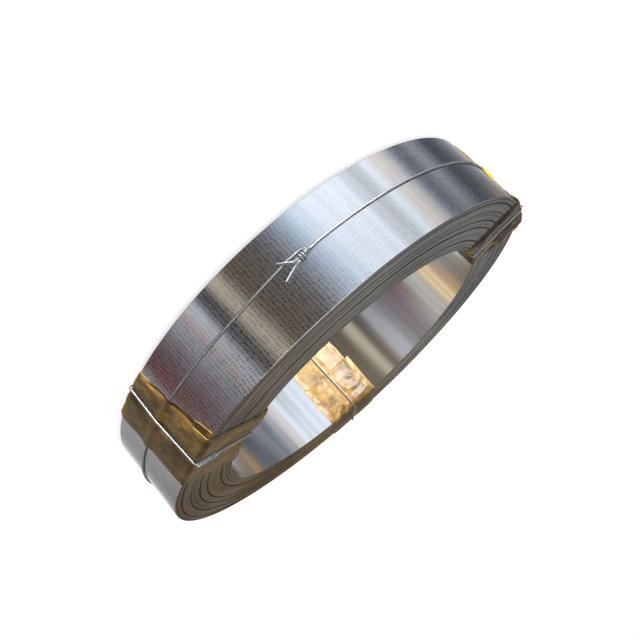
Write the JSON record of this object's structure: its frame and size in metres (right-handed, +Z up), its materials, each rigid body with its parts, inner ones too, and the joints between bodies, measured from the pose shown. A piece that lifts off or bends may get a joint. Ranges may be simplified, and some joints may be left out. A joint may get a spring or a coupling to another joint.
{
  "type": "steel strip coil",
  "caption": "Tight-wound coil of narrow bright steel strip lying on its end, bound by a knotted girth wire and by tie wires through its bore over waxed paper wraps.",
  "frame": {"origin": "on the floor under the centre of the bore", "axes": "+Z up along the coil's axis; the girth wire's knot faces -Y"},
  "size_m": [0.4222, 0.4231, 0.0839],
  "materials": {
    "strip_steel": "bright rolled steel with fine marks, edges of the turns darker",
    "binding_wire": "bright drawn wire",
    "waxed_paper": "creased waxed kraft paper, slightly glossy"
  },
  "bodies": {
    "root": {"strip_coil": "strip_steel", "girth_wire": "binding_wire", "paper_wrap_1": "waxed_paper", "paper_wrap_2": "waxed_paper", "paper_wrap_3": "waxed_paper", "tie_wire_1": "binding_wire", "tie_wire_2": "binding_wire", "tie_wire_3": "binding_wire"}
  },
  "joints": []
}
